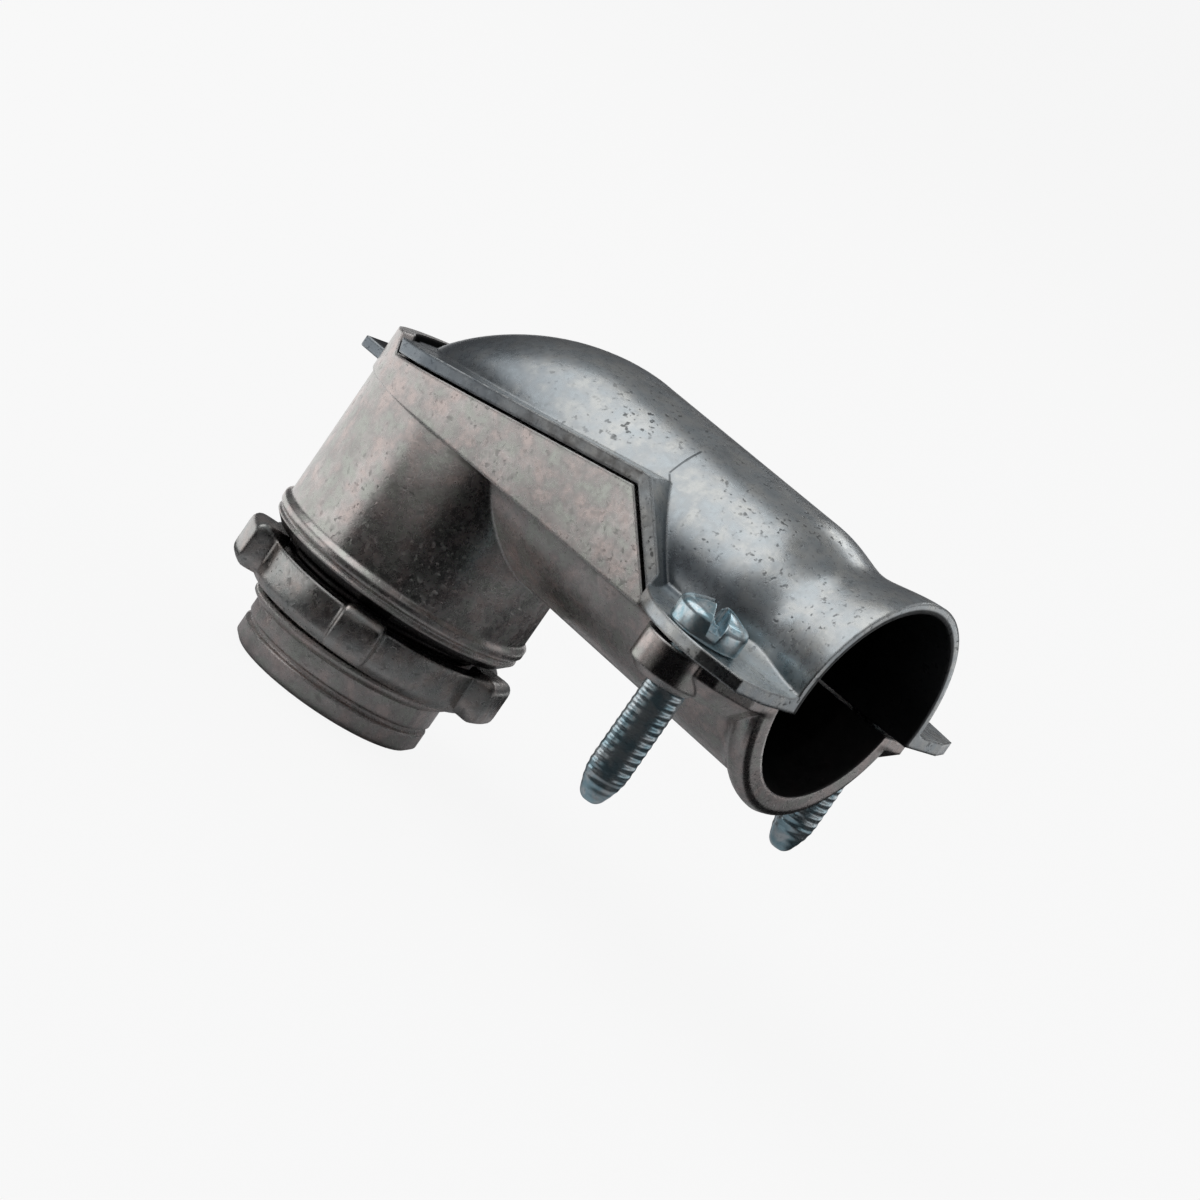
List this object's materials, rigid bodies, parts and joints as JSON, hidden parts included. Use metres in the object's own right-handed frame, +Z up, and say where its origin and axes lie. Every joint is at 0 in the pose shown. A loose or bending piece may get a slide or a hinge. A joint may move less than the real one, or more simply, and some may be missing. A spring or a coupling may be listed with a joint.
{
  "type": "angled flexible conduit connector",
  "caption": "Right-angle connector for flexible metal conduit: threaded hub with lugged locknut, elbow body and hooked clamp cover drawn down by screws.",
  "frame": {"origin": "on the hub's axis, in the plane of the collar's underside that seats on a box wall", "axes": "+Z up the throat, away from the box; +X along the conduit, out of its mouth; +Y to the left of +X"},
  "size_m": [0.0621, 0.0418, 0.0423],
  "materials": {
    "body_casting": "as-cast zinc alloy, mottled mid grey",
    "cover_casting": "as-cast zinc alloy, brighter bluish grey with dark specks",
    "nut_casting": "as-cast zinc alloy, dark grey",
    "plated_screw": "bright blue zinc plate"
  },
  "bodies": {
    "elbow": {"elbow_body": "body_casting"},
    "cover": {"clamp_cover": "cover_casting"},
    "right_screw": {"right_clamp_screw": "plated_screw"},
    "left_screw": {"left_clamp_screw": "plated_screw"},
    "nut": {"locknut": "nut_casting"}
  },
  "joints": [
    {"name": "cover_swing", "type": "hinge", "parent": "elbow", "child": "cover", "pos_m": [-0.0122, 0, 0.01685], "axis": [0, -1, 0], "range_deg": [0, 8.35]},
    {"name": "right_screw_lift", "type": "slide", "parent": "elbow", "child": "right_screw", "axis": [0, 0, 1], "range_m": [0, 0.0081]},
    {"name": "left_screw_lift", "type": "slide", "parent": "elbow", "child": "left_screw", "axis": [0, 0, 1], "range_m": [0, 0.0081]},
    {"name": "locknut_travel", "type": "slide", "parent": "elbow", "child": "nut", "axis": [0, 0, -1], "range_m": [-0.0003, 0.0058]}
  ],
  "couplings": [
    {"joint": "right_screw_lift", "follows": "cover_swing", "m_per_rad": 0.055},
    {"joint": "left_screw_lift", "follows": "cover_swing", "m_per_rad": 0.055}
  ]
}
